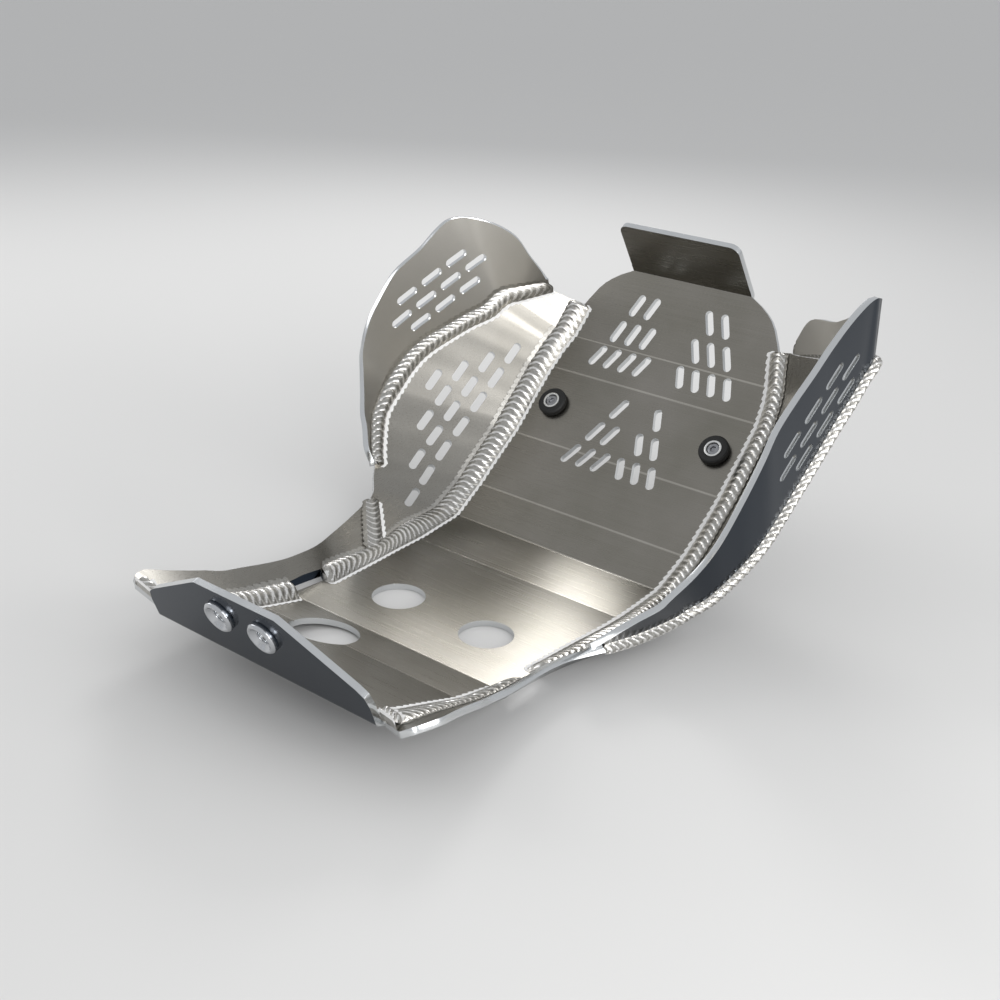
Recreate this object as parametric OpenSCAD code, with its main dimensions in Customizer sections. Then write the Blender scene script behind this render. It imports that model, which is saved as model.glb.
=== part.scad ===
// Motorcycle skid plate: a folded sheet cradle that closes the frame under an enduro engine.
// Main plate with kicked-up rear flange and top tab, sills, side panels and ears welded on.
// +X is the bike's right, +Y is forward, +Z is up. The origin lies on the underside of the
// belly, midway between the two round drain holes. Every rail below follows the engine side.

/* [Sheet] */
// Thickness of the folded sheet
sheet_t = 4; // [3:0.5:5]
// Width of the flat belly at the rear flange
belly_rear_w = 172; // [160:1:184]
// Width of the belly at the drain holes
belly_w = 176; // [164:1:186]
// Greatest width of the main plate, at the engine's front
front_w = 192; // [184:1:200]
// Width of the main plate where its shoulders start
top_w = 161; // [150:1:168]

/* [Main plate profile] */
// Flat length forward of the drain holes
flat_fwd = 74; // [60:1:84]
// Flat length behind the drain holes
flat_rear = 45; // [38:1:55]
// Slope of the rear ramp, first fold
ramp_a1 = 12.5; // [8:0.5:16]
// Slope of the rear ramp, second fold
ramp_a2 = 18.5; // [12:0.5:22]
// Height of the rear flange above its fold
flange_h = 49.5; // [44:1:60]
// Angle of the rear flange from the belly
flange_a = 111; // [100:1:118]
// Angle of the top tab from the belly
tab_a = 125.5; // [110:0.5:132]
// Length of the top tab
tab_l = 47; // [34:0.5:54]

/* [Slots] */
// Length of a vent slot
slot_l = 18.5; // [14:0.5:20]
// Width of a vent slot
slot_w = 6; // [4:0.5:7.5]
// Pitch between slots in a row
slot_pitch = 13; // [11:0.5:14.5]
// Pitch between rows of slots
row_pitch = 22; // [21:0.5:23]
// Outward step of each lower row
row_step = 9; // [7:0.5:10]
// Distance of the top row's outer slot from the middle
top_row_x = 37.5; // [33:0.5:40]
// Distance of the middle group's first slot from the middle
mid_row_x = 16.5; // [13:0.5:18]

/* [Holes] */
// Diameter of the two round drain holes
drain_d = 35; // [26:1:40]
// Distance of each drain hole from the middle
drain_x = 36.5; // [30:0.5:42]
// Diameter of the oil drain hole at the rear left
oil_d = 44; // [36:1:52]
// Distance of the oil drain hole left of the middle
oil_x = 31; // [27:0.5:36]
// Distance of the oil drain hole behind the drain holes
oil_y = 73; // [66:1:78]
// Length of the drain gap left in each sill weld
gap_l = 32; // [20:1:40]

/* [Rubber buffers] */
// Distance of each buffer in from the plate's widest edge
buffer_in = 26.5; // [22:0.5:34]
// Place of the buffers along the third fold's flat
buffer_s = 31; // [24:1:38]
// Diameter of the rubber buffer
buffer_d = 22; // [18:0.5:26]
// Height of the rubber buffer
buffer_h = 5.5; // [4:0.5:8]
// Outer diameter of the metal sleeve
sleeve_d = 12.5; // [11:0.5:14]
// Bore for the buffer screw
screw_bore_d = 6.4; // [5.5:0.1:7]

/* [Bolt cups] */
// Distance of each bolt cup from the middle
cup_x = 17; // [15:0.5:22]
// Height of the bolt cups up the rear flange
cup_s = 31.5; // [26:0.5:34]
// Outer diameter of a bolt cup
cup_d = 20; // [18:0.5:26]
// Height of a bolt cup
cup_h = 4; // [3:0.5:7]
// Bore for the rear frame bolt
cup_bore_d = 8.5; // [8:0.1:10]

/* [Welds] */
// Leg of the main weld beads
bead_leg = 6.5; // [4:0.5:8]
// Height of the weld beads
bead_h = 3; // [2:0.5:4]
// Pitch of the weld ripples
ripple = 9; // [6:0.5:12]
// Leg of the ear, joint and corner beads
small_leg = 5; // [3.5:0.5:6]

/* [Hidden] */
$fn = 32;
e = 0.01;

// Flats of the main plate forward of the belly: length, slope
fwd = [[43, 5.2], [32, 29.2], [50, 37.4], [60, 44.2], [28, 48.5], [59, 64.7]];
// Flats of the rear ramp: length, rise
aft = [[33, ramp_a1], [74, ramp_a2]];

function sum(l, n, f) = n <= 0 ? 0 : sum(l, n - 1, f) + l[n - 1][0] * (f == 0 ? cos(l[n - 1][1]) : sin(l[n - 1][1]));
// Engine-side profile of the main plate in (y, z), from the flange top to the tab top
function fwd_pt(n) = [flat_fwd + sum(fwd, n, 0), sheet_t + sum(fwd, n, 1)];
function aft_pt(n) = [-flat_rear - sum(aft, n, 0), sheet_t + sum(aft, n, 1)];
base_pt = aft_pt(2);
top_pt = fwd_pt(6);
flange_pt = base_pt + flange_h * [cos(flange_a), sin(flange_a)];
tab_pt = top_pt + tab_l * [cos(tab_a), sin(tab_a)];
inner = concat([flange_pt, base_pt, aft_pt(1), [-flat_rear, sheet_t]], [for (n = [0:6]) fwd_pt(n)], [tab_pt]);

function unit2(v) = v / norm(v);
function unit(v) = v / norm(v);
function left_of(v) = [v[1], -v[0]];
// Mitred offset of a profile point to the road side
// and a rounded back on the sharp folds
function outer(i, t) = let (n = len(inner),
    a = i > 0 ? left_of(unit2(inner[i] - inner[i - 1])) : undef,
    b = i < n - 1 ? left_of(unit2(inner[i + 1] - inner[i])) : undef)
  i == 0 ? [inner[i] + t * b] : i == n - 1 ? [inner[i] + t * a]
  : a * b < 0.8 ? [for (k = [4:-1:0]) inner[i] + t * unit2(mid(a, b, k / 4))]
  : [inner[i] + t * (a + b) / (1 + a * b)];
// Height of the engine side over the belly and the front flats, at y
flat_table = [for (i = [1:len(inner) - 2]) inner[i]];
function z_at(y) = lookup(y, flat_table);
// Half width of the main plate at y
edge_table = [[base_pt[0] - 4, belly_rear_w / 2], [base_pt[0], belly_rear_w / 2], [-flat_rear, belly_rear_w / 2],
  [0, belly_w / 2], [65, front_w / 2 - 4], [117, front_w / 2 - 2], [156, front_w / 2],
  [fwd_pt(4)[0] - 2, front_w / 2], [237, front_w / 2 - 2.5], [fwd_pt(5)[0], top_w / 2 + 9.5],
  [252, top_w / 2 + 6], [260, top_w / 2 + 2], [280, top_w / 2]];
function edge_x(y) = lookup(y, edge_table);
function edge_pt(y) = [edge_x(y), y, z_at(y)];

// Tables along the main plate's edge: y of the station, then points given as the distance
// out from the plate's edge there, y and z. Wings: seam of panel and ear, free edge of the ear
function out_row(r) = concat([r[0]], [for (i = [1:len(r) - 1]) r[i] + [edge_x(r[0]), 0, 0]]);
left_wing = [for (r = [
  [257, [22.5, 240, 151], [22.5, 239.5, 156]], [253, [28, 232, 148.5], [23.5, 234, 165.5]],
  [249, [32.5, 224, 146], [26.5, 226, 177]], [246, [35, 219.5, 144.5], [31.5, 216.5, 192]],
  [243, [38, 215, 143], [41.5, 203.5, 201.5]], [240, [39.5, 211, 140], [54.5, 188, 206]],
  [237, [43, 204.5, 132.5], [58.5, 174, 205]], [229, [49, 188.5, 125.5], [60, 165.5, 199]],
  [220, [55, 172, 117.5], [63.5, 152, 186]], [210, [60.5, 159.5, 111], [70.5, 132.5, 170.5]],
  [204, [63.5, 150, 105], [74, 120, 152.5]], [198, [65.5, 140, 96.5], [76.5, 111.5, 136]],
  [192, [66, 131, 88], [77.5, 105.5, 114]], [189, [66, 126, 83], [73.5, 101.5, 100.5]],
  [184, [65.5, 119, 77], [68.5, 97, 84.5]], [176, [64, 110.5, 68.5], [65, 93.5, 73]],
  [166, [60.5, 104.5, 59.5], [60, 90.5, 64]], [150, [54, 96, 47], [52.5, 84.5, 50.5]],
  [139, [48.5, 90.5, 38], [48.5, 87, 39.5]]]) out_row(r)];
right_wing = [for (r = [
  [257, [22.5, 240, 148], [23, 238.5, 158]], [252, [44.5, 222, 157], [32, 231.5, 175.5]],
  [246, [66, 204, 165.5], [55.5, 213, 184]], [240, [88.5, 187, 173.5], [93, 172, 215]],
  [236, [85, 178, 161.5], [91.5, 160, 216]], [228, [80.5, 171, 149], [87, 144, 207]],
  [219, [77, 163, 137], [82.5, 129, 192]], [209, [73.5, 153, 121], [79.5, 117, 178]],
  [199, [70, 143, 105], [76, 105, 164]], [189, [66.5, 128, 86], [72.5, 93.5, 148]],
  [176, [64, 112, 69.5], [69.5, 88, 131]], [157, [59, 102, 56.5], [64.5, 77, 105]],
  [140, [52.5, 94, 43.5], [57, 69, 77]], [128, [45.5, 85.5, 32], [48.5, 63, 58]],
  [105, [38.5, 77, 25], [41.5, 50, 44]]]) out_row(r)];
// Lower end of both panels, past the ear
panel_end = [for (r = [
  [128, [45.5, 85.5, 32]], [105, [38.5, 77, 25]], [35, [40, 72.5, 22.5]]]) out_row(r)];
// Top edge of the sills
sill_front = [for (r = [
  [35, [40, 72.5, 22.5]], [15, [32, 40, 19]], [2, [24.5, 16, 19]], [-18, [17.5, -7, 20]],
  [-32, [16, -23, 21]], [-45, [16.5, -39, 22]], [-58, [18.5, -56, 24]], [-70, [20.5, -71.5, 26.5]],
  [-82, [21.5, -85.5, 29]], [-92, [24, -96.5, 32.5]], [-104, [25.5, -106.5, 35.5]],
  [-121, [28.5, -122.5, 40.5]]]) out_row(r)];
left_sill_end = [for (r = [
  [-134, [31.5, -136.5, 45]], [-140, [31, -141.5, 45]], [-144, [29, -145, 44.5]], [-146, [25, -148, 42]]]) out_row(r)];
right_sill_end = [for (r = [
  [-134, [31, -136, 44]], [-141, [29.5, -145, 44.5]], [-145, [26.5, -153, 44]], [-147, [21, -157, 41]]]) out_row(r)];
left_sill = concat(sill_front, left_sill_end);
right_sill = concat(sill_front, right_sill_end);
// The right ear's tail stands on the sill
right_tail = [for (r = [
  [35, [40, 72.5, 22.5], [43, 44, 40]], [15, [32, 40, 19], [38.5, 28, 35.5]],
  [2, [24.5, 16, 19], [35, 9, 32]], [-8, [20.5, 4, 19.5], [29.5, -3, 26]]]) out_row(r)];

function mid(a, b, f) = a * (1 - f) + b * f;
function cross_n(a, b, c) = unit(cross(b - a, c - a));
// Normal of a strip at station i, pointing to the road side on the right of the bike
function strip_n(A, B, i) = let (n = len(A), lo = max(0, i - 1), hi = min(n - 1, i + 1))
  unit(cross(B[i] - A[i], mid(A[hi], B[hi], 0.5) - mid(A[lo], B[lo], 0.5)));

// Folded sheet between two rails, its thickness to the road side
module strip(A, B, t, flip = 1) {
  n = len(A);
  N = [for (i = [0:n - 1]) flip * strip_n(A, B, i)];
  pts = concat(A, B, [for (i = [0:n - 1]) A[i] + t * N[i]], [for (i = [0:n - 1]) B[i] + t * N[i]]);
  quads = [for (i = [0:n - 2]) each [
    [i, i + 1, n + i + 1, n + i],
    [2 * n + i, 3 * n + i, 3 * n + i + 1, 2 * n + i + 1],
    [i, 2 * n + i, 2 * n + i + 1, i + 1],
    [n + i, n + i + 1, 3 * n + i + 1, 3 * n + i]]];
  ends = [[0, n, 3 * n, 2 * n], [n - 1, 3 * n - 1, 4 * n - 1, 2 * n - 1]];
  tri = [for (q = concat(quads, ends)) each [[q[0], q[1], q[2]], [q[0], q[2], q[3]]]];
  polyhedron(pts, flip < 0 ? tri : [for (f = tri) [f[2], f[1], f[0]]], convexity = 6);
}

module slot2d(l, w) {
  square([w, l - w], center = true);
  for (s = [-1, 1]) translate([0, s * (l - w) / 2]) circle(d = w, $fn = 12);
}

// Slot cutter at p with its length along u and its depth along n
module slot_at(p, u, n) {
  v = unit(cross(u, n));
  w = unit(cross(n, v));
  multmatrix([[v[0], w[0], n[0], p[0]], [v[1], w[1], n[1], p[1]], [v[2], w[2], n[2], p[2]], [0, 0, 0, 1]])
    translate([0, 0, -3 * sheet_t]) linear_extrude(6 * sheet_t) slot2d(slot_l, slot_w);
}

// Frame of a flat of the main plate at y: x lateral, y up the slope, z out of the sheet
module on_flat(y, a) translate([0, y, z_at(y)]) rotate([a, 0, 0]) children();

module mirror_if(left) if (left) mirror([1, 0, 0]) children(); else children();

module outline_prisms() {
  // Belly and front flats, cut straight down
  ys = [for (p = edge_table) if (p[0] < fwd_pt(5)[0] + 3) p];
  translate([0, 0, -20]) linear_extrude(200) polygon(concat(
    [for (p = ys) [p[1], p[0]]], [for (i = [len(ys) - 1:-1:0]) [-ys[i][1], ys[i][0]]]));
  // Top flat with its shoulders
  l = fwd[5][0];
  w = top_w / 2;
  q = [[w + 9.5, -2], [w + 6, 13], [w + 2.5, 25], [w - 0.5, 31], [w - 2.8, 35], [w - 6, 40.5], [w - 10, 45.5],
    [w - 14.5, 49.5], [w - 21, 54], [w - 30.5, l], [w - 30.5, l + 3]];
  on_flat(fwd_pt(5)[0], fwd[5][1]) translate([0, 0, -3 * sheet_t]) linear_extrude(5 * sheet_t)
    polygon(concat(q, [for (i = [len(q) - 1:-1:0]) [-q[i][0], q[i][1]]]));
  // Top tab with rounded corners
  r = 7;
  translate([0, top_pt[0], top_pt[1]]) rotate([tab_a, 0, 0]) translate([0, 0, -3 * sheet_t])
    linear_extrude(6 * sheet_t) {
      polygon([[-w + 30.5, -sheet_t - 1], [w - 30.5, -sheet_t - 1], [w - 31.5, tab_l - r], [-w + 31.5, tab_l - r]]);
      square([2 * (w - 31.5 - r), 2 * tab_l], center = true);
      for (s = [-1, 1]) translate([s * (w - 31.5 - r), tab_l - r]) circle(r, $fn = 32);
    }
  // Rear flange: a low base, slanted sides and a flat top
  b = belly_rear_w / 2;
  translate([0, base_pt[0], base_pt[1]]) rotate([flange_a, 0, 0]) translate([0, 0, -3 * sheet_t])
    linear_extrude(6 * sheet_t)
      polygon([[-b, -3 * sheet_t], [b, -3 * sheet_t], [b, 12], [b - 2, 19], [b - 7, 23], [34, flange_h - 1.5],
        [31, flange_h], [-31, flange_h], [-34, flange_h - 1.5], [-b + 7, 23], [-b + 2, 19], [-b, 12]]);
}

module main_slots() {
  lean = atan(row_step / row_pitch);
  ytop = fwd_pt(5)[0];
  ymid = fwd_pt(3)[0];
  for (m = [0, 1]) mirror([m, 0, 0]) {
    // Upper group: two rows on the top flat, one on the flat below it
    on_flat(ytop, fwd[5][1]) translate([0, 0, -3 * sheet_t]) linear_extrude(6 * sheet_t)
      for (r = [0, 1], c = [0:1 + r]) translate([top_row_x + r * row_step - c * slot_pitch, 34 - r * row_pitch])
        rotate(lean) slot2d(slot_l, slot_w);
    on_flat(fwd_pt(4)[0], fwd[4][1]) translate([0, 0, -3 * sheet_t]) linear_extrude(6 * sheet_t)
      for (c = [0:3]) translate([top_row_x + 2 * row_step - c * slot_pitch, 18.5])
        rotate(lean) slot2d(slot_l, slot_w);
    // Middle group on the flat above the third fold
    on_flat(ymid, fwd[3][1]) translate([0, 0, -3 * sheet_t]) linear_extrude(6 * sheet_t)
      for (r = [0, 1, 2], c = [0:r]) translate([mid_row_x + r * row_step - c * slot_pitch, 41.5 - r * row_pitch])
        rotate(lean) slot2d(slot_l, slot_w);
  }
}

module buffer_frame(left) mirror_if(left)
  translate([front_w / 2 - buffer_in, 0, 0]) on_flat(fwd_pt(3)[0], fwd[3][1]) translate([0, buffer_s, 0]) children();
module cup_frame(left) mirror_if(left)
  translate([cup_x, base_pt[0], base_pt[1]]) rotate([flange_a, 0, 0]) translate([0, cup_s, 0]) children();

module main_plate() {
  color("silver") difference() {
    intersection() {
      rotate([90, 0, 90]) translate([0, 0, -front_w]) linear_extrude(2 * front_w)
        polygon(concat(inner, [for (i = [len(inner) - 1:-1:0]) each outer(i, sheet_t)]));
      union() outline_prisms();
    }
    main_slots();
    for (s = [-1, 1]) translate([s * drain_x, 0, -e]) cylinder(d = drain_d, h = 2 * sheet_t, $fn = 48);
    translate([-oil_x, -oil_y, -4 * sheet_t]) cylinder(d = oil_d, h = 14 * sheet_t, $fn = 48);
    for (left = [false, true]) {
      buffer_frame(left) translate([0, 0, -2 * sheet_t]) cylinder(d = screw_bore_d, h = 4 * sheet_t);
      cup_frame(left) translate([0, 0, -2 * sheet_t]) cylinder(d = cup_bore_d, h = 4 * sheet_t);
    }
  }
}

// Vent slots of a side panel: first slot of each row, count, step along the row
panel_rows = [
  [[17, 208.5, 104], 4, [10.5, -18.3, -5.3]], [[19, 191.5, 88], 3, [10.5, -18.3, -5.3]],
  [[21.5, 174.5, 72], 3, [9.6, -19.2, -4.7]], [[22.5, 156, 57], 2, [9.5, -19.2, -4.6]],
  [[23, 137, 43], 2, [8.6, -19.4, -3.6]], [[21.5, 117.5, 30], 1, [8, -19, -3]],
  [[18.5, 98, 18.5], 1, [8, -19, -3]]];

function wing_seam(w) = concat([for (r = w) r[1]], [for (r = panel_end) if (r[0] < w[len(w) - 1][0]) r[1]]);
function wing_edge(w) = concat([for (r = w) edge_pt(r[0])], [for (r = panel_end) if (r[0] < w[len(w) - 1][0]) edge_pt(r[0])]);

module side_panel(w) {
  A = wing_edge(w);
  B = wing_seam(w);
  color("gainsboro") difference() {
    strip(A, B, sheet_t, -1);
    for (i = [0:len(panel_rows) - 1]) {
      r = panel_rows[i];
      j = min(i, len(panel_rows) - 2);
      u = panel_rows[j + 1][0] - panel_rows[j][0];
      n = unit(cross(r[2], u));
      for (k = [0:r[1] - 1]) slot_at(r[0] + [front_w / 2, 0, 0] + k * r[2], unit(u), n);
    }
  }
}

module sill(rail) {
  A = [for (r = rail) edge_pt(r[0])];
  B = [for (r = rail) r[1]];
  color("gainsboro") difference() {
    strip(A, B, sheet_t, -1);
    // Drain gap where the sill meets the belly
    translate([belly_rear_w / 2, -flat_rear + 14, sheet_t]) cube([5, gap_l, 5], center = true);
  }
}

// Rows of slots in an ear: first slot, step along a row, step to the next row
ear_rows = [[0, 0], [1, 0], [0, 1], [1, 1], [2, 1], [0, 2], [1, 2], [2, 2], [1, 3], [2, 3]];
module ear_slots(p, along, down) {
  n = unit(cross(along, down));
  for (k = ear_rows) slot_at(p + [front_w / 2, 0, 0] + k[0] * along + k[1] * down, unit(down), n);
}

module ear(w, tail, p, along, down) {
  A = concat([for (r = w) r[1]], [for (r = tail) r[1]]);
  B = concat([for (r = w) r[2]], [for (r = tail) r[2]]);
  color("whitesmoke") difference() {
    strip(A, B, sheet_t, -1);
    ear_slots(p, along, down);
  }
}

// Points along a polyline at a fixed pitch
function seg_len(P, i) = norm(P[i + 1] - P[i]);
function path_len(P, i = 0) = i >= len(P) - 1 ? 0 : seg_len(P, i) + path_len(P, i + 1);
function at_len(P, s, i = 0) = i >= len(P) - 2 || s <= seg_len(P, i)
  ? [i, min(1, s / seg_len(P, i))] : at_len(P, s - seg_len(P, i), i + 1);
function on_rail(P, k) = mid(P[k[0]], P[k[0] + 1], k[1]);

// Rippled bead along rail P, its legs towards rails T1 and T2. Height h is over the flat between
// the two toes; with wrap it goes round the outside of the corner
module bead(P, T1, T2, l1, l2, h, wrap = false) {
  L = path_len(P);
  n = max(2, 2 * round(L / ripple));
  K = [for (i = [0:n]) at_len(P, L * i / n)];
  pts = [for (i = [0:n]) let (c = on_rail(P, K[i]), g = i % 2 == 0 ? 0.94 : 1.04,
      a = c + g * l1 * unit(on_rail(T1, K[i]) - c), b = c + g * l2 * unit(on_rail(T2, K[i]) - c), m = mid(a, b, 0.5),
      up = unit(m - c), H = h * (i % 2 == 0 ? 0.75 : 1.05) * (wrap ? -1 : 1) - (wrap ? norm(m - c) : 0))
    each concat([c, a], [for (f = [0.25, 0.5, 0.75]) mid(a, b, f) + 4 * f * (1 - f) * H * up], [b])];
  m = 6;
  side = [for (i = [0:n - 1], j = [0:m - 1]) each [
    [i * m + j, (i + 1) * m + j, (i + 1) * m + (j + 1) % m], [i * m + j, (i + 1) * m + (j + 1) % m, i * m + (j + 1) % m]]];
  cap = concat([for (j = [1:m - 2]) [0, j, j + 1]], [for (j = [1:m - 2]) [n * m, n * m + j + 1, n * m + j]]);
  f = concat(side, cap);
  q = m * n / 2;
  turn = cross(pts[q + 1] - pts[q], pts[q + m - 1] - pts[q]) * (pts[q + m] - pts[q]) > 0;
  polyhedron(pts, turn != wrap ? f : [for (t = f) [t[2], t[1], t[0]]], convexity = 10);
}

function shift_x(P, d) = [for (p = P) p + [d, 0, 0]];

module main_weld(w) {
  r = [for (s = sill_front) if (s[0] < 30 && s[0] > -20) s];
  A = concat(wing_edge(w), [for (s = r) edge_pt(s[0] + 3)]);
  B = concat(wing_seam(w), [for (s = r) s[1]]);
  color("white") bead(A, shift_x(A, -40), B, bead_leg, bead_leg + 3.5, bead_h);
}

module rear_weld(rail) {
  r = [for (s = rail) if (s[0] <= -44) s];
  A = [for (s = r) edge_pt(s[0])];
  color("white") bead(A, shift_x(A, -40), [for (s = r) s[1]], bead_leg, bead_leg + 3, bead_h);
}

module ear_weld(w) {
  A = [for (r = w) r[1]];
  color("white") bead(A, [for (r = w) edge_pt(r[0])], [for (r = w) r[2]], small_leg + 1, small_leg + 1, bead_h);
}

// Bead round the outside of the corner of panel and ear, over the two sheets' edges
module outer_ear_weld(w, tail) {
  A = concat([for (r = w) r[1]], [for (r = tail) r[1]]);
  B = concat([for (r = w) r[2]], [for (r = tail) r[2]]);
  M = concat([for (r = w) edge_pt(r[0])], [for (r = tail) edge_pt(r[0])]);
  s = [1:len(A) - 2];
  NE = [for (i = s) -strip_n(A, B, i)];
  NP = [for (i = s) -strip_n(M, A, i)];
  P = [for (i = s) A[i]];
  color("white") bead(P, P + NE, P + NP, sheet_t + 2.5, sheet_t + 2, 1.5);
}

module joint_weld() {
  a = edge_pt(35);
  b = panel_end[2][1];
  d = unit(b - a);
  n = unit(cross(d, unit(edge_pt(80) - a)));
  s = unit(cross(n, d));
  P = [a + 8 * d, mid(a, b, 0.5), b - 1 * d];
  color("white") bead(P, [for (p = P) p + 20 * s + n], [for (p = P) p - 20 * s + n], small_leg, small_leg, 2);
}

module corner_weld(rail) {
  p = edge_pt(base_pt[0]);
  b = rail[len(rail) - 1][1];
  P = [p + [0, 0, 0], mid(p, b, 0.5), mid(p, b, 0.9)];
  color("white") bead(P, [for (q = P) q + [-3, 20, 9]], [for (q = P) q + [0, -8, 20]], small_leg, small_leg, 2);
}

module rubber_buffer() {
  color("black") difference() {
    rotate_extrude($fn = 40) polygon([[sleeve_d / 2, 0], [buffer_d / 2 - 1, 0], [buffer_d / 2, 1],
      [buffer_d / 2, buffer_h - 1.2], [buffer_d / 2 - 1.2, buffer_h], [sleeve_d / 2, buffer_h]]);
  }
}

module buffer_sleeve() {
  color("lightgray") difference() {
    cylinder(d = sleeve_d, h = buffer_h + 0.5, $fn = 48);
    translate([0, 0, 2]) cylinder(d = sleeve_d - 3, h = buffer_h);
    translate([0, 0, -e]) cylinder(d = screw_bore_d, h = buffer_h);
  }
}

module buffer_screw() {
  color("dimgray") difference() {
    union() {
      translate([0, 0, 2]) cylinder(d = sleeve_d - 4, h = 3);
      translate([0, 0, -sheet_t - 9]) cylinder(d = screw_bore_d - 0.4, h = 11 + sheet_t);
    }
    translate([0, 0, 3]) cylinder(d = 4.6, h = 3, $fn = 6);
  }
}

module buffer_nut() {
  color("lightgray") difference() {
    union() {
      translate([0, 0, -sheet_t - 1.5]) cylinder(d = 14, h = 1.5);
      translate([0, 0, -sheet_t - 7]) cylinder(d = 11.5, h = 6, $fn = 6);
    }
    translate([0, 0, -sheet_t - 8]) cylinder(d = screw_bore_d - 0.4, h = 9);
  }
}

// Turned cup for a countersunk frame bolt, on the outer face of the rear flange
module bolt_cup() {
  color("lightgray") rotate_extrude($fn = 48)
    polygon([[cup_bore_d / 2, 0], [cup_d / 2, 0], [cup_d / 2, cup_h - 1.2], [cup_d / 2 - 1.2, cup_h],
      [cup_d / 2 - 2.2, cup_h], [cup_bore_d / 2 + 1, 1.4], [cup_bore_d / 2, 1.4]]);
}

// Slot origins of the ears and their steps
left_slots = [[49.2, 176, 177.6], [-6.2, 15.1, -4.6], [7.4, -18.7, -12.2]];
right_slots = [[80.7, 141.2, 172.2], [1.9, 16.7, 2.4], [-4.2, -13.3, -18.9]];

main_plate();
mirror_if(true) side_panel(left_wing);  // side_panel_left
side_panel(right_wing);  // side_panel_right
mirror_if(true) sill(left_sill);  // sill_left
sill(right_sill);  // sill_right
mirror_if(true) ear(left_wing, [], left_slots[0], left_slots[1], left_slots[2]);  // ear_left
ear(right_wing, right_tail, right_slots[0], right_slots[1], right_slots[2]);  // ear_right
mirror_if(true) main_weld(left_wing);  // main_weld_left
main_weld(right_wing);  // main_weld_right
mirror_if(true) rear_weld(left_sill);  // rear_weld_left
rear_weld(right_sill);  // rear_weld_right
mirror_if(true) ear_weld(left_wing);  // ear_weld_left
ear_weld(right_wing);  // ear_weld_right
mirror_if(true) outer_ear_weld(left_wing, []);  // outer_ear_weld_left
outer_ear_weld(right_wing, right_tail);  // outer_ear_weld_right
mirror_if(true) joint_weld();  // joint_weld_left
joint_weld();  // joint_weld_right
mirror_if(true) corner_weld(left_sill);  // corner_weld_left
corner_weld(right_sill);  // corner_weld_right
buffer_frame(true) rubber_buffer();  // rubber_buffer_left
buffer_frame(false) rubber_buffer();  // rubber_buffer_right
buffer_frame(true) buffer_sleeve();  // buffer_sleeve_left
buffer_frame(false) buffer_sleeve();  // buffer_sleeve_right
buffer_frame(true) buffer_screw();  // buffer_screw_left
buffer_frame(false) buffer_screw();  // buffer_screw_right
buffer_frame(true) buffer_nut();  // buffer_nut_left
buffer_frame(false) buffer_nut();  // buffer_nut_right
cup_frame(true) translate([0, 0, sheet_t]) bolt_cup();  // bolt_cup_left
cup_frame(false) translate([0, 0, sheet_t]) bolt_cup();  // bolt_cup_right
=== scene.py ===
"""Looks of a welded aluminium skid plate for an off-road motorcycle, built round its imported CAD.

The main plate and the small fittings are copies of their CAD nodes, with broken edges. The panels,
ears and sills are stretched anew between the seams that the CAD uses, and the weld beads, which
are plain in the CAD, are laid coin by coin along them. Lengths are in mm until a mesh is made.
"""

import math

import bmesh
import bpy
import numpy as np
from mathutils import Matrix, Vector
from mathutils.bvhtree import BVHTree


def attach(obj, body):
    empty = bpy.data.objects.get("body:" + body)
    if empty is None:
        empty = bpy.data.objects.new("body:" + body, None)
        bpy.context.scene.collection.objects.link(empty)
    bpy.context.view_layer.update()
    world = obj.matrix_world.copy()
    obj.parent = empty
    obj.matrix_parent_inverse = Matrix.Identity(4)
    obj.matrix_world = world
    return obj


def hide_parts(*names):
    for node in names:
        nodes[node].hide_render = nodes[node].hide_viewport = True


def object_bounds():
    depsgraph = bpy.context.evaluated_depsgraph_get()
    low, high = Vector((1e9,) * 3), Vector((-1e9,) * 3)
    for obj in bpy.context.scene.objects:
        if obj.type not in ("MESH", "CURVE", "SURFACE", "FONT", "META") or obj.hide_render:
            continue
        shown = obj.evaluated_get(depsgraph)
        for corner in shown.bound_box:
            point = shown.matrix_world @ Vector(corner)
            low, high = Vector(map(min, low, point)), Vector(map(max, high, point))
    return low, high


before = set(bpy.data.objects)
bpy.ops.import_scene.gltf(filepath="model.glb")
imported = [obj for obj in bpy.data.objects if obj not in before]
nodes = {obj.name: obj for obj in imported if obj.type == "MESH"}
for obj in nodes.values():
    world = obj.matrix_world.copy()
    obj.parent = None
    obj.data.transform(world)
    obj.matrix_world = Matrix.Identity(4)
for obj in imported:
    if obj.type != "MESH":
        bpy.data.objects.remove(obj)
cad_box = [list(v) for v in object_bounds()]
MM = 0.001

# --- camera -----------------------------------------------------------------------------

camera = bpy.data.cameras.new("camera")
camera.sensor_width = 36
camera.lens = 48.75
camera.clip_end = 50
camera_object = bpy.data.objects.new("camera", camera)
camera_object.location = (0.48628, -0.57780, 0.41626)
camera_object.rotation_euler = [math.radians(a) for a in (66.276, -2.4875, 38.626)]
bpy.context.scene.collection.objects.link(camera_object)
bpy.context.scene.camera = camera_object
bpy.context.scene.view_settings.view_transform = "Standard"

# --- materials --------------------------------------------------------------------------


def colour(text):
    """sRGB hex to linear, with alpha."""
    parts = [int(text[i : i + 2], 16) / 255 for i in (1, 3, 5)]
    return [c / 12.92 if c <= 0.04045 else ((c + 0.055) / 1.055) ** 2.4 for c in parts] + [1]


def add(material, kind, settings=None, **links):
    """Adds one node with its settings and its links: input name to (node, output name)."""
    tree = material.node_tree
    made = tree.nodes.new(kind)
    for key, value in (settings or {}).items():
        if isinstance(key, int) or key in made.inputs:
            made.inputs[key].default_value = value
        else:
            setattr(made, key, value)
    for key, (source, output) in links.items():
        tree.links.new(source.outputs[output], made.inputs[key.replace("_", " ")])
    return made


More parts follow.
